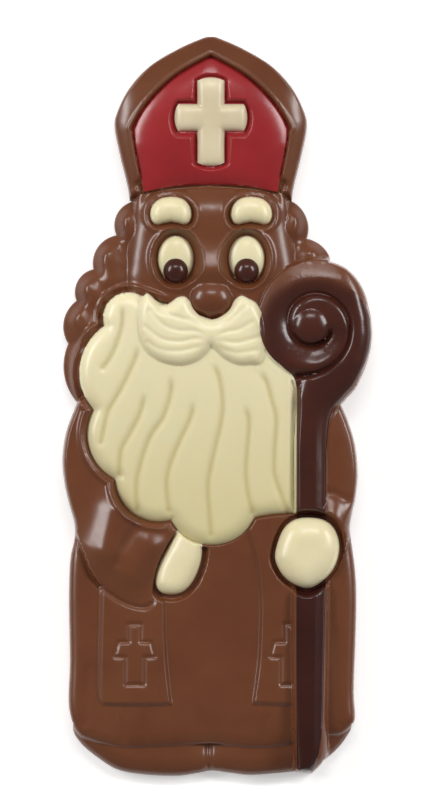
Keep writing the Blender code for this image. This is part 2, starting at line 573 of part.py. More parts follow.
def main():
    for old in list(bpy.data.objects):
        bpy.data.objects.remove(old)
    collection = bpy.data.collections.new(COLLECTION)
    bpy.context.scene.collection.children.link(collection)
    milk = chocolate("milk_chocolate", (0.139, 0.052, 0.026), 0.35)
    white = chocolate("white_chocolate", (0.75, 0.66, 0.42), 0.4)
    dark = chocolate("dark_chocolate", (0.054, 0.02, 0.013), 0.3)
    red = chocolate("red_chocolate", (0.27, 0.025, 0.028), 0.35)

    points, triangles, piece = plan()
    heights = relief(points)
    used = np.unique(triangles)
    centre = (points[used].min(0) + points[used].max(0)) / 2
    points = points - centre
    bed = np.full(len(points), INLAY_BED - GAP)
    body = [(triangles[piece == "body"], heights), (triangles[piece != "body"], bed)]
    meshes = {"milk_chocolate_body": (closed_mesh("milk_chocolate_body", points, body, 0), milk)}
    finish = {"mitre_panel": red, "crozier": dark, "crozier_foot": dark, "pupil_left": dark, "pupil_right": dark}
    for name in INLAYS:
        layer = [(triangles[piece == name], heights)]
        meshes[name] = (closed_mesh(name, points, layer, INLAY_BED), finish.get(name, white))
    for name, (mesh, material) in meshes.items():
        made = bpy.data.objects.new(name, mesh)
        mesh.materials.append(material)
        collection.objects.link(made)
        kind = name.replace("_left", "").replace("_right", "") if name[:4] != "hand" else name
        fewer = made.modifiers.new("fewer_triangles", "DECIMATE")
        fewer.ratio = min(1.0, TRIANGLES[kind] / len(mesh.polygons))


main()
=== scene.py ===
"""A flat moulded chocolate figure of a bearded bishop, lying on its back with the relief up.

The figure is one relief, so its front is worked out as one height over a plan: X runs across it, Y from
the feet to the tip of the mitre, and Z up out of the flat back. A maker of such figures carves one mould,
brushes each coloured chocolate into its own part of it and pours the milk chocolate in last. The sections
go the same way: each draws its forms' outlines in millimetres, says how they rise, and names the chocolate
poured there. A form that runs into the next with no border can't be modelled by itself, so the meshes are
made together in the section on the castings, once the whole mould is carved.
"""

import bpy
import numpy as np
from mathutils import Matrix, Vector, kdtree
from mathutils.geometry import delaunay_2d_cdt


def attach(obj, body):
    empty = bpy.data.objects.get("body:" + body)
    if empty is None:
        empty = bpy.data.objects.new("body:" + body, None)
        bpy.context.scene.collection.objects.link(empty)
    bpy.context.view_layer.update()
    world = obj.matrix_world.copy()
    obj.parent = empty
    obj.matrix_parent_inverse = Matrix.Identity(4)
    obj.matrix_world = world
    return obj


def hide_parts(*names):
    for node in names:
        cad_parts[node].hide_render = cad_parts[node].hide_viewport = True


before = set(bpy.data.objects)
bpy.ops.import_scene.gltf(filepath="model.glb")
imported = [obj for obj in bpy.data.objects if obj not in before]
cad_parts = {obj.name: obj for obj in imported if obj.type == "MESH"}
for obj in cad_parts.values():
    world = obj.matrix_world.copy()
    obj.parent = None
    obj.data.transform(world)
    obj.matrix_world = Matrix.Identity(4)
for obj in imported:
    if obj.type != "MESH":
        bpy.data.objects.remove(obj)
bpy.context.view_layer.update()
MM = 0.001

# Shoes and robe
# The toes of two shoes side by side, and over them the front of a plain robe. They are part of the milk
# chocolate, which is poured last, behind and round every inlay, so it is one casting with the stole, the
# sleeves, the hair, the face and the mitre's rim.
SPACING = 0.45
FINE = 3
outlines = {}
mould = []
castings = []


def smooth_line(points, sharp=(), closed=True):
    """A soft curve through the points, which stays cornered at the ones listed in sharp."""
    p = np.array(points, float)
    count = len(p)
    pieces = []
    for i in range(count if closed else count - 1):
        a, b = p[i], p[(i + 1) % count]
        before = p[i - 1] if closed or i else a
        after = p[(i + 2) % count] if closed or i + 2 < count else b
        leave = b - a if i in sharp else (b - before) / 2
        arrive = b - a if (i + 1) % count in sharp else (after - a) / 2
        t = np.linspace(0, 1, FINE * int(np.ceil(np.hypot(*(b - a)) / SPACING)) + 1)[:-1, None]
        pieces.append(
            (2 * t**3 - 3 * t**2 + 1) * a
            + (t**3 - 2 * t**2 + t) * leave
            + (3 * t**2 - 2 * t**3) * b
            + (t**3 - t**2) * arrive
        )
    if not closed:
        pieces.append(p[-1:])
    return np.concatenate(pieces)


def area(line):
    """Twice the area within a closed outline, positive if it runs anticlockwise."""
    return (line[:, 0] * np.roll(line[:, 1], -1) - line[:, 1] * np.roll(line[:, 0], -1)).sum()


def distance(points, line, closed=True, reach=8.0):
    """How far points lie inside a closed outline (outside is negative), or from an open line."""
    result = np.full(len(points), -reach if closed else reach)
    near = np.flatnonzero(((points > line.min(0) - reach) & (points < line.max(0) + reach)).all(1))
    count = len(line)
    corners = kdtree.KDTree(count)
    for i, (x, y) in enumerate(line):
        corners.insert((x, y, 0), i)
    corners.balance()
    q = points[near]
    nearest = np.array([corners.find((x, y, 0))[1] for x, y in q.tolist()], int)
    gaps, leans = [], []
    for first in (nearest - 1, nearest):
        first = first % count if closed else np.clip(first, 0, count - 2)
        side = line[(first + 1) % count] - line[first]
        along = np.clip(((q - line[first]) * side).sum(1) / (side**2).sum(1), 0, 1)
        off = q - line[first] - along[:, None] * side
        gaps.append(np.hypot(*off.T))
        leans.append((side[:, 0] * off[:, 1] - side[:, 1] * off[:, 0]) / np.hypot(*side.T))
    gap = np.minimum(*gaps)
    if closed:
        nearer_first, nearer_second = gaps[0] < gaps[1] - 1e-6, gaps[1] < gaps[0] - 1e-6
        lean = np.where(nearer_first, leans[0], np.where(nearer_second, leans[1], sum(leans)))
        gap = gap * np.where(lean * area(line) > 0, 1, -1)
    result[near] = gap
    return result


def ease(t):
    t = np.clip(t, 0, 1)
    return t * t * (3 - 2 * t)


def merge(a, b, soft):
    """The higher of two heights, with a fillet where they meet."""
    near = np.clip(soft - abs(a - b), 0, None) / soft
    return np.maximum(a, b) + near * near * soft / 4


def swell(inside, edge, top, shoulder, steepness):
    """A form's height: a round shoulder from its edge to its top, and a steep fall outside the outline."""
    round_up = np.sqrt(1 - (1 - np.clip(inside / shoulder, 0, 1)) ** 2)
    return edge + (top - edge) * round_up + np.minimum(inside, 0) * steepness


def bead(off, width):
    """A soft bead's height, from 1 on its line to 0 far off it."""
    return np.exp(-((off / width) ** 2))


def grooved(x, y, height, lines, depth, width):
    """Soft grooves pressed in along lines. Each fades towards its first point."""
    points = np.stack([x, y], -1)
    for line in lines:
        off = distance(points, smooth_line(line, closed=False), False, 3 * width)
        near_end = np.hypot(*(points - line[0]).T)
        height = height - depth * bead(off, width) * ease(near_end / 4 + 0.15)
    return height


outlines["feet"] = smooth_line([
    (-31.0, -66), (-33.2, -73.6), (-31.6, -77.6), (-27.6, -81.1), (-22.8, -84.0), (-16.6, -85.1),
    (-9.4, -85.4), (-4.6, -84.8), (-1.2, -84.2), (2.8, -84.7), (7.6, -85.2), (13.8, -84.8),
    (18.2, -84.4), (21.2, -84.7), (23.3, -82.9), (27.2, -79.7), (30.0, -76.2), (31.0, -73), (29.0, -66),
], sharp=(0, 13, 18))
outlines["robe"] = smooth_line([
    (-32.3, 0.5), (-34.7, -6), (-35.6, -12.2), (-35.2, -17.7), (-34.1, -22.7), (-32.9, -27.0),
    (-32.8, -30.6), (-33.8, -35.7), (-34.1, -44.9), (-33.9, -58.8), (-34.1, -69.4), (-32.2, -75.2),
    (-28.8, -77.2), (-22.5, -78.9), (-16.7, -78.9), (-9.4, -78.6), (-1.6, -78.0), (3.2, -78.6),
    (10.0, -79.1), (17.3, -78.2), (24.6, -76.4), (28.4, -75.7), (31.0, -73.6), (31.8, -71.7),
    (31.5, -65.7), (31.9, -54.1), (32.1, -44.9), (31.8, -38.0), (30.9, -31.1), (30.6, -27.9),
    (31.1, -24.9), (32.0, -20.7), (32.4, -15), (31.7, -8.8), (30.1, -3.5), (28.6, 0.0),
    (27, 10), (20, 22), (0, 30), (-15, 22), (-27, 6),
], sharp=(0, 35))
SHOE_SEAM_X = -1.9
SHOE_SEAM_Y = -78.4
ROBE_HALF_WIDTH = 33


def shoes(x, y, height, inside):
    """Toes of two shoes, with a seam and a small hollow between them."""
    toes = swell(inside["feet"], edge=2.2, top=5.5, shoulder=4.6, steepness=3)
    seam = 0.7 * bead(x - SHOE_SEAM_X, 0.8)
    hollow = 0.9 * bead(x - SHOE_SEAM_X, 3.0) * bead(y - SHOE_SEAM_Y, 3.6)
    return toes - seam - hollow


DRAPES = [
    [(-21.2, -68), (-21.6, -77)], [(-16.6, -69), (-16.4, -77)], [(-29.6, -58), (-30.4, -73)],
    [(27.6, -50), (28.2, -73)], [(11.4, -70), (11.0, -76)],
]


def robe(x, y, height, inside):
    """The robe's front bulges a little in the middle and hangs in shallow drapes at the hem."""
    bulge = 0.7 * (1 - (x / ROBE_HALF_WIDTH) ** 2) * ease((inside["robe"] - 1) / 8)
    front = swell(inside["robe"], edge=4.9, top=7.0, shoulder=3.6, steepness=5) + bulge
    return merge(height, grooved(x, y, front, DRAPES, depth=0.28, width=1.2), soft=0.3)


mould += [shoes, robe]


def linear(colour):
    """A hex sRGB colour as linear red, green and blue."""
    parts = [int(colour[i : i + 2], 16) / 255 for i in (1, 3, 5)]
    return [c / 12.92 if c <= 0.04045 else ((c + 0.055) / 1.055) ** 2.4 for c in parts]


def node(tree, kind, settings, links):
    """Adds a node, with its settings by name or socket number, and its links from other nodes' sockets."""
    made = tree.nodes.new(kind)
    for key, value in settings.items():
        if isinstance(key, int) or key in made.inputs:
            made.inputs[key].default_value = value
        else:
            setattr(made, key, value)
    for key, source in links.items():
        tree.links.new(source, made.inputs[key])
    return made


def chocolate(name, colour, deeper, gloss, scatter, reach, fade=None, other=None):
    """Chocolate cast in a polished mould: a close satin gloss, a touch uneven where it drew back as it set.

    deeper is the colour of its faint clouds, or, where fade gives a start and an end in Y, the painted
    shade at its lower end. gloss is its roughness, scatter and reach say how much light goes in and how
    far, and other is the colour mixed in where the mesh's mix attribute is above 0: the chocolate that
    shows from beneath it, and for the beard the painted shade in its grooves.
    """
    cloud_size, mottle_size, drawn_size, drawn_depth = 14 * MM, 1.1 * MM, 5 * MM, 0.05 * MM
    material = bpy.data.materials.new(name)
    material.use_nodes = True
    tree = material.node_tree
    tree.nodes.clear()
    place = node(tree, "ShaderNodeTexCoord", {}, {}).outputs["Object"]
    # With fade the colour runs from colour to deeper along Y, which for the beard is a painted shade
    # towards its lower end.
    if fade:
        along = node(tree, "ShaderNodeSeparateXYZ", {}, {"Vector": place}).outputs["Y"]
        start, end = fade
    else:
        clouds = node(tree, "ShaderNodeTexNoise", {
            "Scale": 1 / cloud_size, "Detail": 3.0, "Roughness": 0.55,
        }, {"Vector": place})
        along = clouds.outputs["Fac"]
        start, end = 0.35, 0.65
    tone = node(tree, "ShaderNodeMapRange", {"From Min": start, "From Max": end}, {"Value": along})
    colours = node(tree, "ShaderNodeMix", {
        "data_type": "RGBA", 6: (*linear(colour), 1), 7: (*linear(deeper), 1),
    }, {0: tone.outputs["Result"]})
    # The mix attribute adds the other colour: a chocolate showing from beneath, and the beard's painted
    # groove shade.
    if other:
        through_and_groove_shade = node(tree, "ShaderNodeAttribute", {"attribute_name": "through_and_groove_shade"}, {}).outputs["Fac"]
        colours = node(tree, "ShaderNodeMix", {
            "data_type": "RGBA", 7: (*linear(other), 1),
        }, {0: through_and_groove_shade, 6: colours.outputs[2]})
    mottle = node(tree, "ShaderNodeTexNoise", {"Scale": 1 / mottle_size, "Detail": 2.0}, {"Vector": place})
    satin = node(tree, "ShaderNodeMapRange", {
        "From Min": 0.3, "From Max": 0.7, "To Min": gloss - 0.01, "To Max": gloss + 0.02,
    }, {"Value": mottle.outputs["Fac"]})
    drawn = node(tree, "ShaderNodeTexNoise", {"Scale": 1 / drawn_size, "Detail": 2.0}, {"Vector": place})
    waves = node(tree, "ShaderNodeBump", {"Strength": 1.0, "Distance": drawn_depth}, {
        "Height": drawn.outputs["Fac"],
    })
    shader = node(tree, "ShaderNodeBsdfPrincipled", {
        "IOR": 1.46,
        "Subsurface Weight": scatter,
        "Subsurface Radius": reach,
        "Subsurface Scale": MM,
    }, {
        "Base Color": colours.outputs[2],
        "Roughness": satin.outputs["Result"],
        "Normal": waves.outputs["Normal"],
    })
    node(tree, "ShaderNodeOutputMaterial", {}, {"Surface": shader.outputs["BSDF"]})
    return material


def pour(name, material, replaced, parts=(), under=False):
    """A piece of one chocolate in place of a solid of the frame. Its mesh comes with the castings.

    parts names the outlines that it fills. Where they cross another inlay's, the one that comes later
    shows, and one with under shows below all the others.
    """
    piece = bpy.data.objects.new(name, bpy.data.meshes.new(name))
    piece.data.materials.append(material)
    bpy.context.scene.collection.objects.link(piece)
    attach(piece, "root")
    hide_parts(replaced)
    castings.insert(0 if under else len(castings), (piece, parts))
    return piece


# Milk chocolate is a warm brown with a little red light in it. Round the crook it runs into the dark.
MILK_BROWN = "#6d4027"
DARK_BROWN = "#472117"
milk = chocolate(
    "moulded_milk_chocolate", MILK_BROWN, "#663922", gloss=0.245, scatter=0.15, reach=(1.2, 0.5, 0.3),
    other=DARK_BROWN,
)
body = pour("milk_chocolate", milk, "milk_chocolate_body")

# Stole
# Two flat bands that hang down the robe's front, each with a flared cross raised on its end. They are low
# steps in the milk chocolate with a crisp edge, cut in the mould.
def arc(a, b, bulge):
    """Points from a up to b on an arc that stands bulge to the left of the way from a to b."""
    a, b = np.array(a, float), np.array(b, float)
    chord = b - a
    length = np.hypot(*chord)
    if bulge == 0:
        return a + chord * np.linspace(0, 1, FINE * int(np.ceil(length / SPACING)), endpoint=False)[:, None]
    radius = (length**2 / 4 + bulge**2) / (2 * bulge)
    centre = (a + b) / 2 + np.array([-chord[1], chord[0]]) / length * (bulge - radius)
    turn = -2 * np.arcsin(min(1, length / 2 / abs(radius))) * np.sign(bulge)
    if abs(bulge) > length / 2:
        turn = -2 * np.pi * np.sign(bulge) - turn
    start = np.arctan2(*(a - centre)[::-1])
    steps = FINE * int(np.ceil(abs(turn * radius) / SPACING))
    angles = start + turn * np.linspace(0, 1, steps, endpoint=False)
    return centre + abs(radius) * np.stack([np.cos(angles), np.sin(angles)], -1)


def even(line):
    """A closed outline with more points on its long sides."""
    sides = zip(line, np.roll(line, -1, 0))
    return np.concatenate([arc(a, b, 0) for a, b in sides if np.hypot(*(b - a)) > 1e-6])


def mirrored(half, x):
    """A half outline, drawn from top to foot on the right, with its mirror image on the left of x."""
    return np.concatenate([half, (half * (-1, 1) + (2 * x, 0))[-2:0:-1]])


def flared_cross(x):
    """The raised cross on an end of the stole, its arms wider towards their ends, right half first."""
    half = [
        (0, -50.4), (1.4, -50.4), (1.3, -54.4), (3.8, -54.5),
        (4.6, -57.8), (2.2, -58.0), (2.2, -64.2), (0, -64.2),
    ]
    return even(mirrored(np.array(half) + (x, 0), x))


outlines["stole_left"] = smooth_line([
    (-26.4, -40), (-26.6, -50), (-26.8, -58), (-26.8, -66.5), (-25.9, -68.7), (-18, -68.8),
    (-10.6, -68.7), (-10.9, -66.5), (-11.8, -57.3), (-12.1, -46.6), (-12, -40),
], sharp=(0, 4, 6, 10))
outlines["stole_right"] = smooth_line([
    (5.0, -20), (6.6, -26), (8.0, -31), (9.2, -36.0), (9.8, -41.0), (10.1, -47.3), (9.8, -57.3),
    (9.1, -63.6), (8.4, -68.5), (13, -68.7), (19, -68.7), (19, -20),
], sharp=(0, 8, 10, 11))
outlines["stole_cross_left"] = flared_cross(-18.9)
outlines["stole_cross_right"] = flared_cross(16.9)
STOLE_STEP = 0.85
STOLE_CROSS_STEP = 0.1
STOLE_CROSS_MOAT = 0.34


def stole(x, y, height, inside):
    """Each band is one step up, and its cross a small step more inside a fine moat."""
    for side in ("left", "right"):
        band, cross = inside["stole_" + side], inside["stole_cross_" + side]
        height = height + STOLE_STEP * ease((band + 0.5) / 1.0) - STOLE_CROSS_MOAT * bead(cross, 0.55)
        height = height + STOLE_CROSS_STEP * ease((cross + 0.3) / 0.9)
    return height


mould.append(stole)

# Sleeves
# The wide left sleeve bends round to its cuff in one deep fold, and the right arm reaches behind the shaft.
# They are milk chocolate too, and stand over the robe as full round forms.
outlines["sleeve_left"] = smooth_line([
    (-32.3, 0.5), (-34.7, -6), (-35.6, -12.2), (-35.2, -17.7), (-34.1, -22.7), (-32.7, -27.4),
    (-30.8, -32.9), (-28.1, -39.5), (-23.7, -43.4), (-20.2, -45.3), (-16.8, -46.0), (-15.1, -45.2),
    (-14.9, -43.0), (-14.5, -39.5), (-13.3, -35.7), (-11.3, -31.8), (-9.2, -28.9), (-4, -20), (-20, 4),
], sharp=(0, 11, 16))
outlines["arm_right"] = smooth_line([
    (28.6, 0), (30.1, -3.5), (31.7, -8.8), (32.4, -15), (32.0, -20.7), (31.1, -24.9), (30.6, -27.9),
    (28.6, -35.3), (25.0, -40.6), (20, -40.6), (20, -2),
], sharp=(0, 8, 9, 10))
FOLDS = [
    [(-17.8, -26.8), (-19.6, -29.8), (-21.6, -33.0), (-23.0, -36.2)],
    [(23.2, -20.6), (26.4, -20.2), (29.4, -21.6)],
]


def slope(inside, edge, top, reach, steepness):
    """A form's height: a flank that grows flatter the further in it gets, and a steep fall outside."""
    flank = 1 - np.exp(-np.maximum(inside, 0) / reach)
    return edge + (top - edge) * flank + np.minimum(inside, 0) * steepness


def cut(a, b, soft):
    """The lower of two heights, with a rounded edge where they meet."""
    return -merge(-a, -b, soft)


def ridge(x, y, ends, radius):
    """How much a soft ridge between two ends stands up at each point, from 1 on it to 0 far off."""
    points = np.stack([x, y], -1)
    a, b = np.array(ends, float).reshape(2, 2)
    along = np.clip(((points - a) * (b - a)).sum(1) / ((b - a) ** 2).sum(), 0, 1)
    return np.exp(-(((points - a - along[:, None] * (b - a)) ** 2).sum(1) / radius**2))


def sleeves(x, y, height, inside):
    """Both sleeves stand on the robe with a low step, and round off with it at the rim."""
    rim = swell(inside["robe"], edge=5.0, top=11.5, shoulder=5.5, steepness=5)
    right = slope(inside["arm_right"], edge=7.5, top=8.9, reach=2.2, steepness=4)
    right = right + 1.6 * ridge(x, y, (26.6, -26.0, 27.2, -29.5), radius=3.4)
    height = merge(height, cut(right, rim, soft=0.6), soft=0.2)
    height = height - 0.5 * bead(inside["sleeve_left"] + 0.5, 0.6) * ease((rim - 5.0) / 2)
    left = slope(inside["sleeve_left"], edge=8.0, top=8.6, reach=1.6, steepness=4)
    left = left + 2.8 * ridge(x, y, (-22.6, -25.2, -24.4, -33.0), radius=4.8)
    left = left + 1.6 * ridge(x, y, (-15.8, -32.2, -19.5, -38.5), radius=3.6)
    height = merge(height, cut(left, rim, soft=0.6), soft=0.2)
    return grooved(x, y, height, FOLDS, depth=0.45, width=1.1)


mould.append(sleeves)

# Hair
# Wavy hair in milk chocolate that comes out from under the mitre on both sides, carved as soft curls whose
# ends make the wavy rim of the figure.
def lobes(corners, bulges):
    """A closed outline of arcs and straight sides between corners."""
    ends = corners[1:] + corners[:1]
    return np.concatenate([arc(a, b, bulge) for a, b, bulge in zip(corners, ends, bulges)])


outlines["hair_left"] = lobes([
    (-1.6, 56), (-19.7, 46.8), (-23.2, 39.1), (-28.5, 31.3), (-32.4, 24.0), (-34.3, 14.1),
    (-32.2, 0.5), (-15, -15), (-1.6, -15),
], [0, -1.9, -2.0, -1.9, -2.0, -2.0, 0, 0, 0])
outlines["hair_right"] = lobes([
    (-1.6, 56), (-1.6, 0), (26, 17), (26, 34.0), (20.7, 38.3), (17.3, 46.9),
], [0, 0, 0, -0.9, -1.7, 0])
# Each curl is a ridge from one end to the other, with its radius last.
CURLS = [
    (-21.4, 42.6, -20.6, 40.0, 2.6), (-25.8, 34.2, -24.4, 29.4, 3.0), (-30.0, 26.8, -28.6, 24.8, 2.9),
    (-31.6, 20.0, -29.4, 17.4, 2.9), (-31.2, 11.0, -30.8, 6.0, 3.0),
    (18.4, 43.0, 17.4, 40.6, 2.6), (22.8, 36.4, 21.6, 34.6, 2.8),
]
CURL_HEIGHT = 1.4


def hair(x, y, height, inside):
    """A low bank of hair with its curls on top."""
    for side in ("left", "right"):
        bank = slope(inside["hair_" + side], edge=3.5, top=5.9, reach=3.0, steepness=3)
        height = merge(height, bank, soft=0.5)
    for *ends, radius in CURLS:
        rim = inside["hair_left" if ends[0] < 0 else "hair_right"]
        height = height + CURL_HEIGHT * ridge(x, y, ends, radius) * ease((rim + 0.5) / 3.5)
    return height


mould.append(hair)

# Face
# A broad doll's face in milk chocolate with a ball of a nose. White brows and eyes and dark pupils are
# brushed into rimmed sockets of the mould first, and are the same on both sides of the face's middle.
FACE_X = -1.35
EYE_SPREAD = 8.15
EYE_Y = 33.6
BROW_SPREAD = 9.2
BROW_Y = 44.6
NOSE_X, NOSE_Y = -1.3, 24.4
NOSE_ACROSS, NOSE_ALONG = 4.9, 3.9


def oval(x, y, across, along):
    steps = FINE * int(2 * np.pi * max(across, along) / SPACING)
    t = np.linspace(0, 2 * np.pi, steps, endpoint=False)
    return np.stack([x + across * np.cos(t), y + along * np.sin(t)], -1)


def brow_outline(x):
    """A full kidney shape, its rounded ends turned down a little, from the top round the right half."""
    half = smooth_line([
        (0, 3.3), (2.5, 2.8), (4.2, 1.3), (4.8, -0.8), (4.3, -2.5), (3.2, -3.2), (1.8, -2.9), (0, -2.6),
    ], closed=False)
    return mirrored(half + (x, BROW_Y), x)


outlines["face"] = smooth_line([
    (-16.6, 51.5), (-17.6, 49.0), (-18.6, 46.6), (-19.8, 39.9), (-20.8, 32.9), (-21.0, 27.6), (-17.7, 17.3),
    (-1.2, 15), (14.5, 17.3), (19.1, 24.2), (18.2, 32.9), (17.1, 39.2), (15.9, 46.6), (14.9, 49.0),
    (13.9, 51.5), (-1.4, 54.0),
])
for side, way in (("left", -1), ("right", 1)):
    outlines["brow_" + side] = brow_outline(FACE_X + way * BROW_SPREAD)
    outlines["eye_" + side] = oval(FACE_X + way * EYE_SPREAD, EYE_Y, 4.15, 5.3)
    outlines["pupil_" + side] = oval(FACE_X + way * EYE_SPREAD, EYE_Y - 2.8, 2.85, 2.85)
BRIDGE_SLOPE = 0.18
BRIDGE_FOOT_Y, BRIDGE_TOP_Y = 31.4, 38.0
FOREHEAD_DROP = 1.8
BROW_SOCKET, EYE_SOCKET, PUPIL_SOCKET = 7.4, 6.9, 7.6


def below(y, level):
    """Twice how far points lie below a level of the face, and 0 above it, with a soft turn between."""
    return np.sqrt((level - y) ** 2 + 2) + level - y


def face(x, y, height, inside):
    """The face slopes up from its edge. The bridge rises to the nose, and the sockets are cut in last."""
    height = merge(height, slope(inside["face"], edge=5.6, top=8.8, reach=3.0, steepness=3), soft=0.3)
    bridge = BRIDGE_SLOPE * np.exp(-(((x - FACE_X) / 4.0) ** 4))
    bridge = bridge * (below(y, BRIDGE_TOP_Y) - below(y, BRIDGE_FOOT_Y)) * (1 - 0.65 * ease((31.5 - y) / 5))
    bulge = 1.0 * bead(x - FACE_X, 5.0)
    under_mitre = np.clip(1 + inside["panel"] / 8, 0, 1) ** 2
    forehead = bulge * ease((y - 34) / 8) - (FOREHEAD_DROP + bulge) * under_mitre
    height = height + (bridge + forehead) * ease(inside["face"] / 3)
    for side in ("left", "right"):
        brow, eye, pupil = (inside[name + side] for name in ("brow_", "eye_", "pupil_"))
        height = height + 0.3 * bead(brow + 1.3, 0.6) + 0.5 * bead(eye + 1.6, 0.7)
        height = cut(height, BROW_SOCKET + np.maximum(-brow - 0.3, 0) * 2.2, soft=0.3)
        full_brow = swell(brow, edge=BROW_SOCKET, top=9.7, shoulder=3.0, steepness=5)
        height = np.where(brow > -0.3, np.maximum(height, full_brow), height)
        height = cut(height, EYE_SOCKET + np.maximum(-eye - 0.3, 0) * 1.8, soft=0.4)
        full_eye = swell(eye, edge=EYE_SOCKET, top=8.6, shoulder=4.0, steepness=4)
        height = np.where(eye > -0.3, np.maximum(height, full_eye), height)
        full_pupil = swell(pupil, edge=PUPIL_SOCKET, top=9.9, shoulder=2.85, steepness=5)
        height = np.where(pupil > -0.3, np.maximum(height, full_pupil), height)
    off = np.sqrt(((x - NOSE_X) / NOSE_ACROSS) ** 2 + ((y - NOSE_Y) / NOSE_ALONG) ** 2)
    nose = 8.0 + 3.2 * np.sqrt(np.clip(1 - off * off, 0, 1))
    return merge(height, np.where(off < 1, nose, 0), soft=1.5)


mould.append(face)

# White chocolate is cocoa butter and milk: a warm cream that light goes far into, with a softer gloss. Dark
# chocolate is nearly black brown, and hardly any light goes into it.
CREAMY = {"gloss": 0.30, "scatter": 0.35, "reach": (2.4, 1.6, 0.8)}
DEEP = {"scatter": 0.05, "reach": (0.6, 0.3, 0.2)}
white = chocolate("moulded_white_chocolate", "#e8ddb8", "#dfd4aa", **CREAMY)
dark = chocolate("moulded_dark_chocolate", DARK_BROWN, "#3c1b13", gloss=0.22, **DEEP, other=MILK_BROWN)
for side in ("left", "right"):
    pour(f"brow_{side}_white", white, "brow_" + side, ["brow_" + side])
    pour(f"eye_{side}_white", white, "eye_" + side, ["eye_" + side])
    pour(f"pupil_{side}_dark", dark, "pupil_" + side, ["pupil_" + side])

# Beard
# Long and full, in one brushing of white chocolate with the moustache, whose two full lobes stand on it.
# Shallow waves and strands are carved along both. Its colour is a painted shade: darker and yellower
# towards the lower end, and a darker olive in the grooves.
outlines["beard"] = lobes([
    (-17.8, 25.3), (-25.9, 18.2), (-28.4, -1.1), (-23.5, -17.0), (-10.6, -26.5), (8.6, -25.9),
    (18.2, -24.9), (18.3, 9.0), (12.0, 16.0), (8.6, 21.6), (-1.2, 19.6),
], [-3.6, -4.4, -3.6, -3.9, -6.0, 0.3, 0, 0, 0, 0, 0])
outlines["moustache"] = smooth_line([
    (-16.2, 25.6), (-17.5, 23.8), (-18.1, 20.8), (-17.8, 16.7), (-16.5, 13.0), (-13.9, 10.5),
    (-10.8, 9.3), (-7.7, 9.1), (-4.6, 10.1), (-2.5, 12.0), (-1.4, 13.4), (-0.1, 12.4),
    (1.8, 10.7), (4.6, 9.3), (7.3, 9.2), (10.4, 10.1), (11.3, 17.3), (9.4, 22.8),
    (7.1, 24.5), (5.5, 25.1), (4.1, 24.1), (2.9, 21.9), (0.9, 20.3), (-1.4, 19.5),
    (-3.8, 20.4), (-5.4, 22.0), (-6.3, 23.9), (-7.5, 24.9), (-9.1, 24.7), (-10.6, 23.6),
    (-11.9, 22.8), (-13.3, 22.9), (-14.7, 24.6),
], sharp=(10,))
WAVES = [
    [(-18.5, 14.1), (-18.8, 10.7), (-21.8, 4.1), (-23.8, 0.7), (-25.3, -2.3), (-26.6, -8.5)],
    [(-16.5, 3.2), (-17.6, -1.8), (-20.0, -6.6), (-22.0, -10.5), (-22.5, -15.8)],
    [(-10.8, 7.1), (-10.6, 3.0), (-12.3, -2.7), (-15.7, -8.1), (-18.4, -17.3), (-18.4, -24.0)],
    [(-5.5, 1.2), (-6.0, -2.7), (-8.4, -8.1), (-10.6, -13.4), (-11.6, -18.2), (-11.1, -24.0)],
    [(-1.2, 10.0), (0.3, 6.7), (1.2, 1.8), (1.0, -3.7), (-1.4, -14.3), (-2.1, -19.7), (-1.4, -29.5)],
    [(6.1, 0.2), (7.3, -3.7), (6.9, -11.0), (6.6, -15.8), (7.1, -20.7), (8.1, -24.5)],
    [(9.4, 8.1), (11.3, 5.3), (12.5, 1.2), (13.6, -3.7), (13.2, -11.0), (13.4, -16.8), (16.3, -24.4)],
    [(-21.9, 23.7), (-21.8, 18.9), (-23.0, 14.3), (-24.4, 11.1), (-26.1, 8.6)],
]
STRANDS = [
    [(-1.6, 15.6), (-5, 17.0), (-9, 17.2), (-12.5, 18.6), (-15.4, 21.6)],
    [(-1.8, 15.0), (-5, 15.2), (-9, 14.6), (-13, 15.4), (-16.4, 18.0)],
    [(-2.2, 14.0), (-5, 13.2), (-9, 12.4), (-13, 12.8), (-15.8, 14.4)],
    [(-2.4, 17.6), (-5.2, 19.2), (-8.4, 20.0), (-11, 20.8), (-13, 22)],
    [(-1.2, 15.6), (2, 16.8), (5, 17.4), (8, 19.0)],
    [(-1.0, 15.0), (2, 14.6), (5, 14.4), (9.4, 15.6)],
    [(-0.6, 13.8), (2, 12.6), (5, 12.0), (9, 12.6)],
    [(-0.4, 17.4), (2.2, 19.0), (4.4, 20.6), (6.2, 22.4)],
]
BEARD_BED = 7.36


def beard(x, y, height, inside):
    """The beard fills a trench with a low bank on its left, and the moustache stands on the beard."""
    edge = inside["beard"]
    bank = 0.6 * bead(edge + 1.5, 0.6) * ease((-9 - x) / 6)
    hairs = swell(edge + 0.6, edge=5.4, top=9.3, shoulder=4.4, steepness=5)
    hairs = grooved(x, y, hairs, WAVES, depth=0.4, width=0.95)
    trench = BEARD_BED + np.maximum(-edge, 0) * 2.4
    height = np.where(edge > 0, hairs, cut(height, trench, soft=0.5) + bank)
    whiskers = swell(inside["moustache"] + 0.3, edge=8.0, top=11.0, shoulder=3.2, steepness=5)
    whiskers = grooved(x, y, whiskers, STRANDS, depth=0.24, width=0.6)
    return merge(height, whiskers, soft=0.3)


mould.append(beard)

# Painted shade: the beard's colour darkens towards its lower end along Y, and its grooves take the darker
# olive other colour.
BEARD_SHADE_FADE = (22 * MM, -28 * MM)
beard_white = chocolate(
    "beard_white_chocolate", "#e9dfba", "#d3c899", **CREAMY, fade=BEARD_SHADE_FADE, other="#b8a768",
)
pour("beard_white", beard_white, "beard", ["beard", "moustache"])

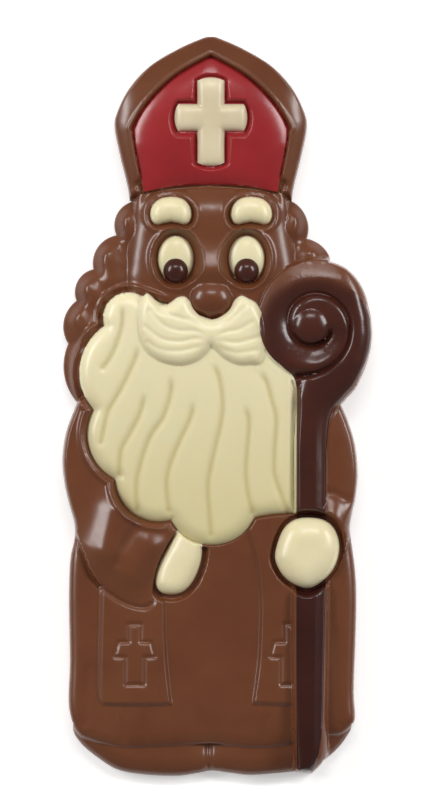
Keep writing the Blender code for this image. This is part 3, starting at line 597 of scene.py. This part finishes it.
# Mitre
# A tall pointed cap with a broad rounded rim of milk chocolate round a pillowed panel of red chocolate. A
# white cross lies in a recess of the panel, brushed in first of all.
MITRE_X = -1.45
MITRE_FOOT_Y = 46.5
RED_EDGE = 6.9
CROSS_BED = 7.5


def barred_cross(x, y, half, reach, up, down, bulge):
    """A cross of two equal bars with rounded ends."""
    corners = [
        (x - half, y + up), (x + half, y + up), (x + half, y + half), (x + reach, y + half),
        (x + reach, y - half), (x + half, y - half), (x + half, y - down), (x - half, y - down),
        (x - half, y - half), (x - reach, y - half), (x - reach, y + half), (x - half, y + half),
    ]
    return lobes(corners, [bulge, 0, 0] * 4)


outlines["mitre"] = mirrored(smooth_line([
    (-1.45, 84.9), (0.3, 84.6), (6.0, 82.1), (12.6, 78.1), (17.3, 73.0), (20.1, 67.5), (20.7, 63.8),
    (19.4, 57.1), (17.4, 48.4), (17.0, 40.0),
], closed=False), MITRE_X)
PANEL_SIDE = smooth_line([
    (-1.45, 80.1), (5.4, 76.4), (10.2, 72.5), (14.1, 68.0), (16.4, 63.9), (16.4, 62.4),
    (15.4, 56.4), (13.9, 49.0),
], sharp=(7,), closed=False)
# The panel's pillow falls away towards this smoother line, so that its corners make no crease.
PANEL_FLANK = smooth_line([
    (-1.45, 80.3), (9.0, 74.1), (15.3, 66.9), (16.7, 60.5), (15.4, 54.5), (14.0, 48.0), (12.8, 41.6),
], closed=False)
PANEL_FOOT = smooth_line([(13.9, 49.0), (8.6, 50.0), (3.8, 50.5), (-1.45, 50.65)], closed=False)
outlines["panel"] = mirrored(np.concatenate([PANEL_SIDE[:-1], PANEL_FOOT]), MITRE_X)
CROSS_X, CROSS_Y = -1.4, 66.0
CROSS_BAR = 3.1
CROSS_REACH = 7.5
CROSS_UP = 8.4
CROSS_DOWN = 10.3
CROSS_ROUND = 0.85
outlines["mitre_cross"] = barred_cross(
    CROSS_X, CROSS_Y, CROSS_BAR, CROSS_REACH, CROSS_UP, CROSS_DOWN, CROSS_ROUND,
)


def red_panel(x, y):
    """The panel's height, a soft pillow that falls to its sides and to the arc of its foot."""
    from_right = distance(np.stack([x, y], -1), PANEL_FLANK, False, 40.0)
    from_left = distance(np.stack([2 * MITRE_X - x, y], -1), PANEL_FLANK, False, 40.0)
    from_sides = cut(from_left, from_right, soft=2.0)
    from_foot = np.maximum(y - 50.65 + 1.65 * ((x - MITRE_X) / 15.35) ** 2, 0)
    return RED_EDGE + 2.8 * (1 - np.exp(-from_sides / 4.2)) * (1 - np.exp(-from_foot / 3.0))


def white_cross(x, y):
    """The height of the cross, two bars with round backs that meet in a soft fillet."""
    u, v = (x - CROSS_X) / CROSS_BAR, (y - CROSS_Y) / CROSS_BAR
    middle = (CROSS_UP - CROSS_DOWN) / 2
    half_height = (CROSS_UP + CROSS_DOWN) / 2 + CROSS_ROUND
    upright = (1 - abs(u) ** 3) * (1 - abs((y - CROSS_Y - middle) / half_height) ** 7)
    crossbar = (1 - abs(v) ** 3) * (1 - abs((x - CROSS_X) / (CROSS_REACH + CROSS_ROUND)) ** 6)
    bars = merge(np.clip(upright, 0, 1), np.clip(crossbar, 0, 1), soft=0.3)
    return CROSS_BED + 1.9 * np.sqrt(np.clip(bars, 0, 1))


def mitre(x, y, height, inside):
    """The rim is a round roll at the sides and flatter at the top, and ends in a crease on the forehead."""
    far = inside["mitre"]
    side = 6.0 + 0.8 * far - far**2 / 14
    top = 7.8 + 0.03 * far
    border = side + (top - side) * ease((y - 65) / 15) + 0.22 * bead(inside["panel"] + 0.75, 0.4)
    panel = border + (red_panel(x, y) - border) * ease((inside["panel"] + 0.35) / 0.35)
    cross = inside["mitre_cross"]
    panel = cut(panel, CROSS_BED + np.maximum(-cross - 0.3, 0) * 1.7, soft=0.35)
    pillow = white_cross(x, y) + np.minimum(cross, 0) * 6
    panel = np.where(cross > -0.3, np.maximum(panel, pillow), panel)
    crease = 1.4 * bead(inside["face"], 0.8) + 8 * ease(inside["face"] / 1.6)
    border_end = panel - crease - 4.5 * ease((MITRE_FOOT_Y + 2.3 - y) / 3.2)
    round_panel = merge(height, border_end, soft=0.3)
    round_panel = round_panel + (RED_EDGE - round_panel) * ease((inside["panel"] + 0.4) / 0.4)
    return np.where(far > 0, np.where(inside["panel"] < 0, round_panel, panel), height)


mould.append(mitre)

# Red chocolate is white chocolate dyed deep red, as glossy as the milk. The cross's white is a greyer cream
# than the beard's, because it is thin and backed with red.
red = chocolate(
    "moulded_red_chocolate", "#9a272a", "#8e2226", gloss=0.23, scatter=0.15, reach=(1.6, 0.4, 0.3),
)
pour("mitre_panel_red", red, "mitre_panel", ["panel"])
cross_white = chocolate("mitre_cross_white_chocolate", "#dccfb0", "#d0c2a2", **CREAMY)
pour("mitre_cross_white", cross_white, "mitre_cross", ["mitre_cross"])

# Crozier
# A bishop's staff in dark chocolate: a crook wound from the top of the shaft into a ball, and a long round
# shaft down to the shoes. The fist parts it in two, and milk chocolate stands round it as a narrow bank.
CROOK = np.array([22.1, 18.2])
BALL = np.array([21.6, 18.2])
# One crease winds in from the crook's outer foot to the ball. Turns are degrees round the crook's middle,
# 0 to the right and 90 up, and radii, depths and the crease's flanks are given at named turns.
CREASE_TURNS = [-113, -104, -84, -60, -38, -14, 0, 45, 85, 145, 180, 225, 270, 315, 335]
CREASE_RADII = [12.7, 12.0, 10.9, 9.9, 9.2, 8.6, 8.4, 7.7, 7.4, 6.5, 5.8, 5.1, 4.2, 3.9, 4.0]
FLANK_TURNS = [-104, -60, 0, 60, 120, 180, 240, 300, 335]
OUTER_FLANK = [0.35, 0.35, 0.4, 1.2, 2.2, 2.6, 1.8, 1.4, 0.9]
INNER_FLANK = [0.9, 0.9, 0.6, 0.5, 0.7, 1.0, 0.8, 0.7, 0.6]
CREASE_DEPTH = [2.0, 1.6, 1.4, 1.6, 1.9, 1.8, 1.8, 2.0, 1.5]
JOINT_TURNS = (20, 70)
CREST_TURNS = [-102, -56, 0, 20, 60, 90, 120, 150, 180, 210, 258]
CREST_RADII = [9.6, 11.4, 11.9, 12.0, 11.4, 10.2, 9.8, 9.6, 9.5, 9.5, 9.6]
EDGE_TURNS = [-58, -45, -28, -15, 0, 20, 41, 60, 90, 120, 145, 180, 210, 231, 245, 253, 258]
EDGE_RADII = [
    17.7, 16.0, 14.6, 14.0, 13.5, 13.55, 14.6, 15.4, 15.3, 14.3, 13.5, 12.6, 12.2, 11.8, 12.3, 13.9, 19.0,
]
DARK_RADII = [
    16.6, 15.2, 14.2, 13.7, 13.2, 12.9, 12.2, 11.7, 11.2, 11.3, 12.0, 12.4, 12.1, 11.7, 12.1, 13.3, 18.0,
]
FOOT_SPLIT = (-34, -37)
LAP_TURN = -102
OUTER_CREST = 12.0
STAFF_TOP = 10.6
BALL_RADIUS = 4.2


def around_crook(turn, turns, radii):
    """Points round the middle of the crook at each turn, with radii that are given at named turns."""
    turn = np.array(turn, float)
    radius = np.interp(turn, turns, radii)
    return CROOK + np.stack([radius * np.cos(np.radians(turn)), radius * np.sin(np.radians(turn))], -1)


CREASE_STEPS = np.arange(-113, 336, 3.0)
CREASE = around_crook(CREASE_STEPS, CREASE_TURNS, CREASE_RADII)
ROUND = np.arange(258, -60, -4.0)
outlines["staff"] = smooth_line([
    *around_crook(ROUND, EDGE_TURNS, EDGE_RADII), (28.8, 0.3), (26.8, -2.4),
    (26.1, -8), (26.1, -15), (26.0, -26.5), (25.8, -42.6), (25.6, -56.5), (25.4, -72), (25.2, -80.4),
    (22.3, -84.4), (21.2, -84.7), (18.0, -84.5), (16.9, -63), (16.9, -42.6), (17.6, -26.5), (17.6, -10),
], sharp=(len(ROUND) + 11,))
outlines["staff_dark"] = smooth_line([
    *around_crook(ROUND, EDGE_TURNS, DARK_RADII), (28.0, 0.9), (26.1, -2.2), (25.3, -8), (25.0, -15),
    (25.0, -26.5), (24.9, FOOT_SPLIT[0]), (18.4, FOOT_SPLIT[0]), (18.4, -26.5), (18.3, -10),
], sharp=(len(ROUND) + 5, len(ROUND) + 6))
outlines["foot_dark"] = smooth_line([
    (24.9, FOOT_SPLIT[1]), (24.9, -42.6), (24.6, -56.5), (24.2, -72), (23.6, -78.5), (22.3, -83.4),
    (21.2, -84.0), (18.4, -83.7), (18.2, -63), (18.2, -42.6), (18.2, FOOT_SPLIT[1]),
], sharp=(0, 6, 7, 10))


def beside(points, line, reach):
    """How far points are from an open line, on which side (1 is left), and its nearest point's number."""
    tree = kdtree.KDTree(len(line))
    for i, (x, y) in enumerate(line):
        tree.insert((x, y, 0), i)
    tree.balance()
    near = np.flatnonzero(((points > line.min(0) - reach) & (points < line.max(0) + reach)).all(1))
    number, side = np.zeros(len(points), int), np.ones(len(points))
    number[near] = [tree.find((x, y, 0))[1] for x, y in points[near].tolist()]
    along = np.gradient(line, axis=0)[number]
    off = points - line[number]
    side[near] = np.where(along[:, 0] * off[:, 1] - along[:, 1] * off[:, 0] > 0, 1, -1)[near]
    return distance(points, line, False, reach), side, number


def crook_band(x, y, inside, radius, turn):
    """The wound band's back, round on its right and flatter on its left, where the crook is broad."""
    first = np.interp(turn, CREASE_TURNS[:11], CREASE_RADII[:11])
    on_outer_lap, on_inner_lap = (radius > first) & (turn < 0), (radius < first) & (turn < 0)
    crest = np.where(on_outer_lap, OUTER_CREST, np.interp(turn, CREST_TURNS, CREST_RADII))
    lean = np.maximum(radius - crest, 0)
    left = STAFF_TOP - 0.42 * (np.sqrt(lean**2 + 0.64) - 0.8) + np.minimum(inside["staff"], 0) * 5
    right = swell(inside["staff"], edge=6.8, top=STAFF_TOP, shoulder=4.2, steepness=5)
    return left + (right - left) * np.where(on_inner_lap, 0, ease((75 - turn) / 50))


def crozier(x, y, height, inside):
    """The shaft, and the band that winds in from its top along one crease until it ends in a ball."""
    points = np.stack([x, y], -1)
    radius = np.hypot(x - CROOK[0], y - CROOK[1])
    turn = np.degrees(np.arctan2(y - CROOK[1], x - CROOK[0]))
    turn = np.where(turn < LAP_TURN, turn + 360, turn)
    from_ball = np.hypot(x - BALL[0], y - BALL[1])
    shoulder = 3.1 + 1.4 * np.clip((x - 21.2) / 2.0, -1, 1)
    shaft = swell(inside["staff"], edge=6.4, top=STAFF_TOP, shoulder=shoulder, steepness=5)
    staff = shaft + (crook_band(x, y, inside, radius, turn) - shaft) * ease((y - 1) / 5)
    low = 1 - ease((abs((turn + 240) % 360 - 180) - 15) / 60)
    staff = staff - 0.9 * low * ease((9.8 - from_ball) / 3.4)
    for lap in (CREASE_STEPS <= JOINT_TURNS[1], CREASE_STEPS >= JOINT_TURNS[0]):
        away, side, number = beside(points, CREASE[lap], 7.0)
        at = CREASE_STEPS[lap][number]
        share = ease((at - JOINT_TURNS[0]) / (JOINT_TURNS[1] - JOINT_TURNS[0]))
        share = 1 - share if lap[0] else share
        inner, outer = (np.interp(at, FLANK_TURNS, widths) for widths in (INNER_FLANK, OUTER_FLANK))
        fall = np.exp(-away / np.where(side > 0, inner, outer))
        staff = staff - share * np.interp(at, FLANK_TURNS, CREASE_DEPTH) * fall
    ball = 9.6 + 2.0 * np.sqrt(np.clip(1 - (from_ball / BALL_RADIUS) ** 2, 0, 1))
    staff = merge(staff, np.where(from_ball < BALL_RADIUS, ball, 0), soft=0.4)
    return merge(height, staff, soft=0.25)


mould.append(crozier)

# The foot of the shaft is a separate brushing of dark chocolate, blacker and glossier than the crook.
foot_dark = chocolate("crozier_foot_dark_chocolate", "#3a1914", "#33150f", gloss=0.16, **DEEP)
pour("crozier_foot_dark", foot_dark, "crozier_foot", ["foot_dark"])
pour("crozier_dark", dark, "crozier", ["staff_dark"])

# Hands
# Two small hands of white chocolate with no fingers marked: a round fist over the shaft, and a palm that
# comes out from under the beard and lies in a trench below the left cuff.
outlines["hand_right"] = smooth_line([
    (21.3, -25.8), (17.9, -26.3), (15.3, -28.4), (13.7, -32.3), (13.4, -35.7), (15.2, -39.2), (18.0, -41.3),
    (21.2, -42.1), (24.7, -40.0), (27.0, -37.1), (28.1, -32.7), (27.2, -28.7), (24.9, -26.5),
])
outlines["hand_left"] = smooth_line([
    (-8.0, -27.5), (-3.6, -27.5), (-3.4, -31.6), (-3.6, -35.2), (-4.6, -38.6), (-6.2, -41.4),
    (-8.2, -43.1), (-10.5, -43.6), (-12.8, -43.1), (-14.1, -41.6), (-14.1, -39.2), (-13.0, -36.0),
    (-11.2, -32.6), (-9.4, -29.2),
], sharp=(0, 1))


def hands(x, y, height, inside):
    """The palm's trench ends at the cuff and at the beard, and the fist's runs all round it."""
    left, right = inside["hand_left"], inside["hand_right"]
    trench = 6.0 + np.maximum(-left - 0.9, 0) * 2.5 + 12 * ease((-14.8 - x) / 1.0)
    trench = trench + 12 * ease((inside["beard"] + 0.7) / 0.5)
    height = height + (cut(height, trench, soft=0.4) - height) * ease((0.1 - inside["sleeve_left"]) / 0.5)
    palm = swell(left, edge=6.4, top=9.0, shoulder=3.6, steepness=5)
    palm = palm + (BEARD_BED - palm) * ease((inside["beard"] + 0.5) / 0.5)
    height = np.where((left > -0.3) & (inside["beard"] < 0), np.maximum(height, palm), height)
    height = cut(height, 6.6 + np.maximum(-right - 0.7, 0) * 3.0, soft=0.4)
    fist = swell(right, edge=7.4, top=10.9, shoulder=5.6, steepness=6)
    return np.where(right > -0.3, np.maximum(height, fist), height)


mould.append(hands)

pour("hand_right_white", white, "hand_right", ["hand_right"])
pour("hand_left_white", white, "hand_left", ["hand_left"], under=True)

# The castings
# With the mould carved, each chocolate takes its shape. The outlines part the plan, the topmost piece
# first, and what is left is milk chocolate, which also lies behind the inlays and so has a pocket for them.
BODY_FORMS = ("feet", "robe", "hair_left", "hair_right", "face", "beard", "staff")
GRAIN = 0.4
ROWS = (0.35, -0.35, -0.75, 0.75, -1.2, -1.7)
BED = 4.0
POCKET_FLOOR = BED - 0.1
ROW_STEP = 0.2
CLOSEST = 0.26
THIN_TURNS = (25, 215)
outlines["mitre_above"] = even(np.array([p for p in outlines["mitre"][::FINE] if p[1] > MITRE_FOOT_Y]))


def relief(points):
    """Height of the figure's front over points of the plan, which falls to a short wall at the rim."""
    x, y = points.T
    inside = {name: distance(points, line) for name, line in outlines.items()}
    height = np.zeros(len(points))
    for form in mould:
        height = form(x, y, height, inside)
    mitre_rim = np.where(y > MITRE_FOOT_Y, inside["mitre"], -8)
    rim = np.max([mitre_rim] + [inside[name] for name in BODY_FORMS + ("sleeve_left", "arm_right")], 0)
    return cut(height, 1.2 + rim * 18.0, soft=1.0)


def anticlockwise(line):
    return line if area(line) > 0 else line[::-1]


def offset(line, by):
    """An anticlockwise outline moved outwards by a small distance."""
    along = np.roll(line, -1, 0) - np.roll(line, 1, 0)
    return line + np.stack([along[:, 1], -along[:, 0]], -1) / np.hypot(*along.T)[:, None] * by


def apart(points, kept, least):
    """The points that lie at least this far from every point already kept."""
    tree = kdtree.KDTree(len(kept))
    for i, (x, y) in enumerate(kept):
        tree.insert((x, y, 0), i)
    tree.balance()
    return points[np.array([tree.find((x, y, 0))[2] > least for x, y in points])]


def thinned(points, cell):
    """One point for each small square of the plan."""
    _, first = np.unique(np.floor(points / cell), axis=0, return_index=True)
    return points[np.sort(first)]


def plan():
    """The plan as triangles, each with the name of the piece that it belongs to."""
    names, lines = [], []
    for piece, parts in reversed(castings):
        for part in parts:
            names.append(piece.name)
            lines.append(anticlockwise(outlines[part][::FINE]))
    for name in BODY_FORMS + ("mitre_above",):
        names.append(body.name)
        lines.append(anticlockwise(outlines[name][::FINE]))
    fixed = np.concatenate(lines)
    pressed = [smooth_line(line, closed=False)[::FINE] for line in WAVES + STRANDS + FOLDS]
    kept = np.concatenate([fixed, CREASE])
    for by in ROWS:
        rows = [offset(anticlockwise(line[::FINE]), by) for line in outlines.values()]
        rows += [offset(line, by)[1:-1] for line in pressed + [CREASE]]
        kept = np.concatenate([kept, apart(thinned(np.concatenate(rows), ROW_STEP), kept, CLOSEST)])
    low, high = fixed.min(0), fixed.max(0)
    levels = np.arange(low[1], high[1], GRAIN * 3**0.5 / 2)
    steps = np.arange(low[0], high[0], GRAIN)
    grid = np.array([(x + GRAIN / 2 * (i % 2), y) for i, y in enumerate(levels) for x in steps])
    verts = np.concatenate([kept, apart(grid, kept, GRAIN * 0.6)])
    edges = [(len(fixed) + i, len(fixed) + i + 1) for i in range(len(CREASE) - 1)]
    starts = np.cumsum([0] + [len(line) for line in lines])
    faces = [list(range(starts[i], starts[i + 1])) for i in range(len(lines))]
    found = delaunay_2d_cdt([tuple(v) for v in verts], edges, faces, 0, 1e-4, True)
    flat, _, triangles, _, _, owners = found
    filled = [(triangle, names[min(owner)]) for triangle, owner in zip(triangles, owners) if owner]
    return (
        np.array([tuple(v) for v in flat]),
        np.array([triangle for triangle, _ in filled]),
        np.array([name for _, name in filled]),
    )


def loops_of(triangles):
    """The closed edges round a region of triangles, as lists of points in order."""
    sides = {(a, b) for t in triangles.tolist() for a, b in zip(t, t[1:] + t[:1])}
    after = {a: b for a, b in sides if (b, a) not in sides}
    loops = []
    while after:
        start, here = after.popitem()
        loop = [start]
        while here != start:
            loop.append(here)
            here = after.pop(here)
        loops.append(loop)
    return loops


def floor_of(points, loops):
    """As few triangles as fill the closed edges, holes left open."""
    ring = [i for loop in loops for i in loop]
    starts = np.cumsum([0] + [len(loop) for loop in loops])
    faces = []
    for loop, start in zip(loops, starts):
        corners = list(range(start, start + len(loop)))
        faces.append(corners if area(points[loop]) > 0 else corners[::-1])
    found = delaunay_2d_cdt([tuple(v) for v in points[ring]], [], faces, 0, 1e-6, True)
    first = [ring[i[0]] for i in found[3]]
    return np.array([[first[i] for i in t] for t, owner in zip(found[2], found[5]) if len(owner) % 2])


def facing(points):
    """The direction that the relief faces at points of the plan."""
    step = 0.1
    lean_x = relief(points + (step, 0)) - relief(points - (step, 0))
    lean_y = relief(points + (0, step)) - relief(points - (0, step))
    way = np.stack([-lean_x, -lean_y, np.full(len(points), 2 * step)], -1)
    return way / np.linalg.norm(way, axis=1)[:, None]


def show_through_and_groove_shade(points):
    """How much of the other colour shows: milk where the dark lies thinly along the crook's upper edge, and
    a painted shade in the beard's grooves.
    """
    inside = distance(points, outlines["staff_dark"])
    turn = np.degrees(np.arctan2(points[:, 1] - CROOK[1], points[:, 0] - CROOK[0])) % 360
    upper = ease((turn - THIN_TURNS[0]) / 30) * ease((THIN_TURNS[1] - turn) / 30)
    amount = upper * 0.5 * np.exp(-abs(inside) / 0.9)
    in_beard = ease(distance(points, outlines["beard"]) / 1.5)
    # Painted shade in the beard's grooves, darkest along each groove's line.
    for line in WAVES:
        off = distance(points, smooth_line(line, closed=False), False, 3.0)
        start = ease(np.hypot(*(points - line[0]).T) / 3)
        amount = np.maximum(amount, 0.55 * bead(off, 0.6) * start * in_beard)
    return amount


def cast(piece, layers, base):
    """Gives a piece its closed mesh. Layers are regions of triangles with their heights, highest first."""
    levels = [(top, heights, True) for top, heights in layers]
    everything = np.concatenate([top for top, _ in layers])
    levels.append((floor_of(points, loops_of(everything))[:, ::-1], np.full(len(points), base), False))
    corners, index, faces, level_of, normals = [], {}, [], {}, []
    rims = {vertex for loop in loops_of(layers[0][0]) for vertex in loop}

    def corner(vertex, level):
        if (vertex, level) not in index:
            index[vertex, level] = len(corners)
            corners.append((*points[vertex] * MM, levels[level][1][vertex] * MM))
        return index[vertex, level]

    for level, (region, _, upper) in enumerate(levels):
        for triangle in region.tolist():
            faces.append([corner(vertex, level) for vertex in triangle])
            normals += [(0, 0, 0) if level or vertex in rims else ways[vertex] for vertex in triangle]
            if upper:
                level_of.update({(a, b): level for a, b in zip(triangle, triangle[1:] + triangle[:1])})
    for (a, b), level in level_of.items():
        below = level_of.get((b, a), len(layers))
        if below > level:
            faces.append([corner(b, level), corner(a, level), corner(a, below), corner(b, below)])
            normals += [(0, 0, 0)] * 4
    mesh = piece.data
    mesh.from_pydata(corners, [], faces)
    # The mix attribute: milk showing at the crook's upper edge, and painted shade in the beard's grooves.
    through_and_groove_shade = mesh.attributes.new("through_and_groove_shade", "FLOAT", "POINT")
    through_and_groove_shade.data.foreach_set("value", through_and_shade[[vertex for vertex, _ in index]])
    bpy.ops.object.select_all(action="DESELECT")
    piece.select_set(True)
    bpy.context.view_layer.objects.active = piece
    bpy.ops.object.shade_smooth_by_angle(angle=np.radians(50))
    mesh.normals_split_custom_set(normals)


points, triangles, owner = plan()
heights, ways, through_and_shade = relief(points), facing(points), show_through_and_groove_shade(points)
used = np.unique(triangles)
centre = (points[used].min(0) + points[used].max(0)) / 2
points = points - centre
for piece, parts in castings:
    layers = [(triangles[owner == piece.name], heights)]
    if piece == body:
        pockets = floor_of(points, loops_of(triangles[owner != piece.name]))
        layers.append((pockets, np.full(len(points), POCKET_FLOOR)))
    cast(piece, layers, 0 if piece == body else BED)

# Floor, light and camera
# A plain white table under the figure, one long soft box on each side and one beyond the mitre, pale studio
# walls, and a camera straight overhead, as in the photograph.
bpy.ops.mesh.primitive_plane_add(size=4, location=(0, 0, 0))
floor = bpy.context.object
floor.name = "table"
paper = bpy.data.materials.new("white_table")
paper.use_nodes = True
paper.node_tree.nodes.clear()
surface = node(paper.node_tree, "ShaderNodeBsdfPrincipled", {
    "Base Color": (*linear("#fbfbfa"), 1),
    "Roughness": 0.6,
    "Emission Color": (1, 1, 1, 1),
    "Emission Strength": 0.36,
}, {})
node(paper.node_tree, "ShaderNodeOutputMaterial", {}, {"Surface": surface.outputs["BSDF"]})
floor.data.materials.append(paper)


def soft_box(name, place, size, power):
    """A soft area light that faces the middle of the figure."""
    lamp = bpy.data.lights.new(name, "AREA")
    lamp.shape = "RECTANGLE"
    lamp.size, lamp.size_y = size
    lamp.energy = power
    box = bpy.data.objects.new(name, lamp)
    box.location = place
    box.rotation_euler = (-Vector(place)).to_track_quat("-Z", "Y").to_euler()
    bpy.context.scene.collection.objects.link(box)


soft_box("soft_box_left", place=(-1.24, 0.52, 0.99), size=(0.98, 0.32), power=15.4)
soft_box("soft_box_right", place=(1.2, 0.54, 0.99), size=(0.9, 0.32), power=14.2)
soft_box("soft_box_top", place=(0.0, 1.12, 1.52), size=(0.83, 0.26), power=8.2)

# The walls give more light from low down than the ceiling does from above.
WALLS, CEILING = 0.28, 0.185
world = bpy.data.worlds.new("studio")
world.use_nodes = True
studio = world.node_tree
way = node(studio, "ShaderNodeTexCoord", {}, {}).outputs["Generated"]
up = node(studio, "ShaderNodeSeparateXYZ", {}, {"Vector": way}).outputs["Z"]
walls = node(studio, "ShaderNodeMapRange", {
    "From Min": 0.85, "From Max": 0.35, "To Min": CEILING, "To Max": WALLS,
}, {"Value": up})
studio.links.new(walls.outputs["Result"], studio.nodes["Background"].inputs["Strength"])
studio.nodes["Background"].inputs["Color"].default_value = (1, 1, 1, 1)
bpy.context.scene.world = world

# The outlines are drawn about one point of the photograph, which lies a few pixels off its middle.
PIXEL = 0.2304 * MM
PHOTO_HEIGHT = 800
OFF_MIDDLE = np.array([-6, 5]) * PIXEL
CAMERA_HEIGHT = 2.4
camera = bpy.data.cameras.new("camera")
camera.sensor_width = 36
camera.lens = camera.sensor_width * CAMERA_HEIGHT / (PHOTO_HEIGHT * PIXEL)
overhead = bpy.data.objects.new("camera", camera)
overhead.location = (*(OFF_MIDDLE - centre * MM), CAMERA_HEIGHT)
bpy.context.scene.collection.objects.link(overhead)
bpy.context.scene.camera = overhead
bpy.context.scene.view_settings.view_transform = "Standard"
